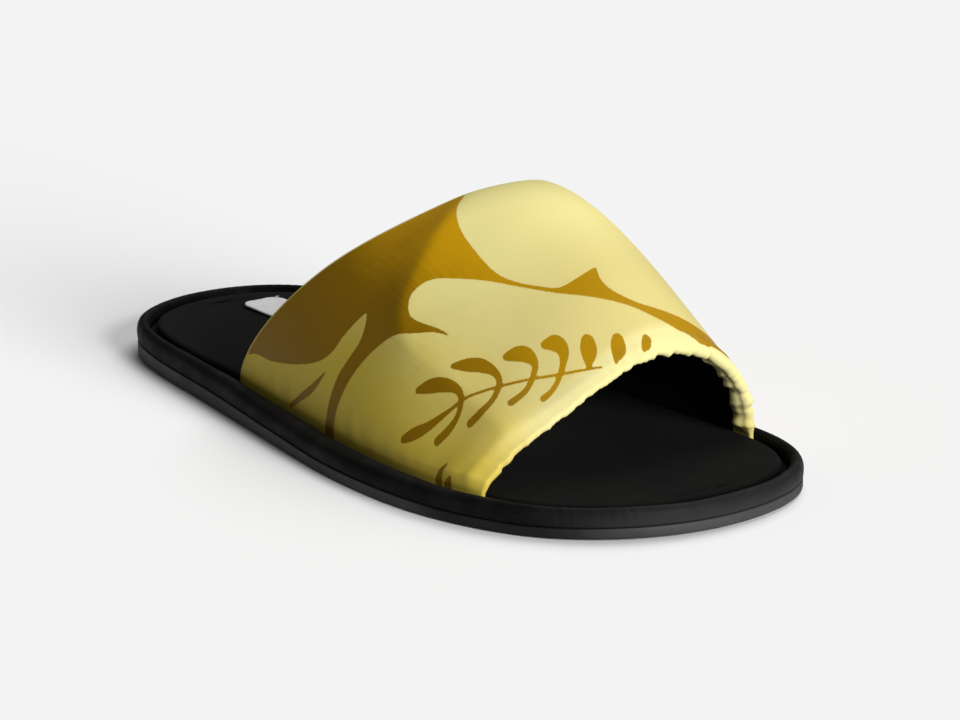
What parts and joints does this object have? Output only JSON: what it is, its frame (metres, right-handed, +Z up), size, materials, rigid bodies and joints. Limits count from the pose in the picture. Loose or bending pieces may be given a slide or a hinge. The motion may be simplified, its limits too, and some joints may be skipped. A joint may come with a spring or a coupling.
{
  "type": "slide sandal",
  "caption": "Right slide sandal: a wide damask band, open at toe and heel, over a black footbed with a rounded border and a thin rubber sole.",
  "frame": {"origin": "on the floor under the middle of the sole's box", "axes": "+X to the toe, +Y to the inner (medial) side, +Z up"},
  "size_m": [0.285, 0.1201, 0.0809],
  "materials": {
    "outsole_rubber": "dull moulded rubber",
    "binding_cloth": "smooth black cloth, slight sheen on the crest",
    "footbed_cloth": "matt black cloth with a short nap",
    "label_cloth": "plain white woven tape",
    "damask": "two-tone gold damask, satin sheen"
  },
  "bodies": {
    "root": {"outsole": "outsole_rubber", "edge_binding": "binding_cloth", "insole": "footbed_cloth", "label": "label_cloth", "upper": "damask"}
  },
  "joints": []
}
